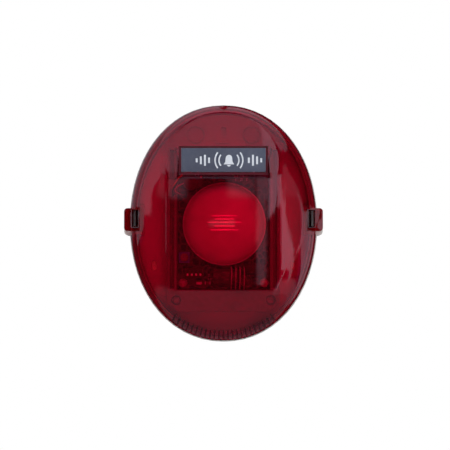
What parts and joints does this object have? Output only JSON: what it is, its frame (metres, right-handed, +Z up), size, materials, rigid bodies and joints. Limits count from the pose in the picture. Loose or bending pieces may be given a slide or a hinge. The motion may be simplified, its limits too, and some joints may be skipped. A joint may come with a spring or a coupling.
{
  "type": "horn strobe",
  "caption": "Wall-mounted fire alarm horn strobe: oval base, clip-fixed dark-red clear cover with sound slots, strobe dome, circuit board and piezo horn.",
  "frame": {"origin": "centre of the wall face of the base", "axes": "+Z up, +Y into the wall, -Y is the front, +X to the right seen from the front"},
  "size_m": [0.1188, 0.046, 0.1416],
  "materials": {
    "red_clear": "polished transparent red polycarbonate",
    "nameplate": "satin grey-blue plate with a light printed symbol",
    "light_grey": "fine moulded texture",
    "dark_grey": "satin moulded",
    "black": "moulded black",
    "capacitor_sleeve": "shrink sleeve",
    "ivory": "moulded ivory",
    "milky_lens": "frosted diffusing polycarbonate",
    "tube_glass": "clear quartz",
    "reflector": "vacuum-metallised",
    "steel": "zinc plated",
    "brass": "rolled sheet",
    "ceramic": "silvered piezo ceramic",
    "copper": "enamelled copper wire, brass stands in for copper's density",
    "ferrite": "sintered ferrite",
    "board": "glass-epoxy laminate with solder mask",
    "terminal_green": "moulded green",
    "trimmer_blue": "moulded blue",
    "red_wire": "PVC insulation"
  },
  "bodies": {
    "base": {"base_housing": "light_grey", "chassis_frame": "dark_grey", "chassis_screw_1": "steel", "chassis_screw_2": "steel", "chassis_screw_3": "steel", "chassis_screw_4": "steel", "circuit_board": "board", "board_screw_1": "steel", "board_screw_2": "steel", "board_screw_3": "steel", "board_screw_4": "steel", "horn_body": "black", "horn_back_cap": "black", "sounder_lead_red": "red_wire", "sounder_lead_black": "black", "lead_connector": "black", "strobe_reflector": "reflector", "flash_tube": "tube_glass", "tube_cap_left": "steel", "tube_cap_right": "steel", "trigger_wire": "steel", "strobe_lens": "milky_lens", "flash_capacitor": "capacitor_sleeve", "filter_capacitor": "capacitor_sleeve", "trigger_transformer": "black", "power_transistor": "black", "controller_chip": "black", "inductor_core": "ferrite", "inductor_winding": "copper", "terminal_block": "terminal_green", "dip_switch_body": "black", "volume_trimmer_body": "trimmer_blue"},
    "cover": {"front_cover": "red_clear", "nameplate": "nameplate"},
    "latch_left": {"latch_left": "black"},
    "latch_right": {"latch_right": "black"},
    "sounder": {"sounder_plate": "brass", "piezo_ceramic": "ceramic"},
    "trimmer_rotor": {"volume_trimmer_rotor": "dark_grey"},
    "terminal_screw_1": {"terminal_screw_1": "steel"},
    "terminal_clamp_1": {"terminal_clamp_1": "steel"},
    "dip_slider_1": {"dip_slider_1": "ivory"},
    "terminal_screw_2": {"terminal_screw_2": "steel"},
    "terminal_clamp_2": {"terminal_clamp_2": "steel"},
    "dip_slider_2": {"dip_slider_2": "ivory"},
    "terminal_screw_3": {"terminal_screw_3": "steel"},
    "terminal_clamp_3": {"terminal_clamp_3": "steel"},
    "dip_slider_3": {"dip_slider_3": "ivory"},
    "terminal_screw_4": {"terminal_screw_4": "steel"},
    "terminal_clamp_4": {"terminal_clamp_4": "steel"},
    "dip_slider_4": {"dip_slider_4": "ivory"}
  },
  "joints": [
    {"name": "cover_lift_off", "type": "slide", "parent": "base", "child": "cover", "axis": [0, -1, 0], "range_m": [0, 0.08]},
    {"name": "latch_left_flex", "type": "hinge", "parent": "base", "child": "latch_left", "pos_m": [-0.05295, -0.0032, 0.0024], "axis": [0, 0, 1], "range_deg": [0, 3.5], "stiffness_Nm_per_rad": 0.6},
    {"name": "latch_right_flex", "type": "hinge", "parent": "base", "child": "latch_right", "pos_m": [0.05295, -0.0032, 0.0024], "axis": [0, 0, -1], "range_deg": [0, 3.5], "stiffness_Nm_per_rad": 0.6},
    {"name": "sounder_stroke", "type": "slide", "parent": "base", "child": "sounder", "axis": [0, -1, 0], "range_m": [-0.0001, 0.0001], "stiffness_N_per_m": 20000},
    {"name": "volume_trim", "type": "hinge", "parent": "base", "child": "trimmer_rotor", "pos_m": [-0.0233, -0.0222, -0.0206], "axis": [0, 1, 0], "range_deg": [-135, 135]},
    {"name": "terminal_screw_1_turn", "type": "hinge", "parent": "base", "child": "terminal_screw_1", "pos_m": [-0.00762, -0.0257, 0.0342], "axis": [0, 1, 0], "range_deg": [0, 900]},
    {"name": "terminal_clamp_1_rise", "type": "slide", "parent": "base", "child": "terminal_clamp_1", "axis": [0, -1, 0], "range_m": [0, 0.00125]},
    {"name": "terminal_screw_2_turn", "type": "hinge", "parent": "base", "child": "terminal_screw_2", "pos_m": [-0.00254, -0.0257, 0.0342], "axis": [0, 1, 0], "range_deg": [0, 900]},
    {"name": "terminal_clamp_2_rise", "type": "slide", "parent": "base", "child": "terminal_clamp_2", "axis": [0, -1, 0], "range_m": [0, 0.00125]},
    {"name": "terminal_screw_3_turn", "type": "hinge", "parent": "base", "child": "terminal_screw_3", "pos_m": [0.00254, -0.0257, 0.0342], "axis": [0, 1, 0], "range_deg": [0, 900]},
    {"name": "terminal_clamp_3_rise", "type": "slide", "parent": "base", "child": "terminal_clamp_3", "axis": [0, -1, 0], "range_m": [0, 0.00125]},
    {"name": "terminal_screw_4_turn", "type": "hinge", "parent": "base", "child": "terminal_screw_4", "pos_m": [0.00762, -0.0257, 0.0342], "axis": [0, 1, 0], "range_deg": [0, 900]},
    {"name": "terminal_clamp_4_rise", "type": "slide", "parent": "base", "child": "terminal_clamp_4", "axis": [0, -1, 0], "range_m": [0, 0.00125]},
    {"name": "dip_slider_1_travel", "type": "slide", "parent": "base", "child": "dip_slider_1", "axis": [0, 0, 1], "range_m": [0, 0.0021]},
    {"name": "dip_slider_2_travel", "type": "slide", "parent": "base", "child": "dip_slider_2", "axis": [0, 0, 1], "range_m": [0, 0.0021]},
    {"name": "dip_slider_3_travel", "type": "slide", "parent": "base", "child": "dip_slider_3", "axis": [0, 0, 1], "range_m": [0, 0.0021]},
    {"name": "dip_slider_4_travel", "type": "slide", "parent": "base", "child": "dip_slider_4", "axis": [0, 0, 1], "range_m": [0, 0.0021]}
  ],
  "couplings": [
    {"joint": "terminal_screw_1_turn", "follows": "terminal_clamp_1_rise", "rad_per_m": 12566},
    {"joint": "terminal_screw_2_turn", "follows": "terminal_clamp_2_rise", "rad_per_m": 12566},
    {"joint": "terminal_screw_3_turn", "follows": "terminal_clamp_3_rise", "rad_per_m": 12566},
    {"joint": "terminal_screw_4_turn", "follows": "terminal_clamp_4_rise", "rad_per_m": 12566}
  ]
}
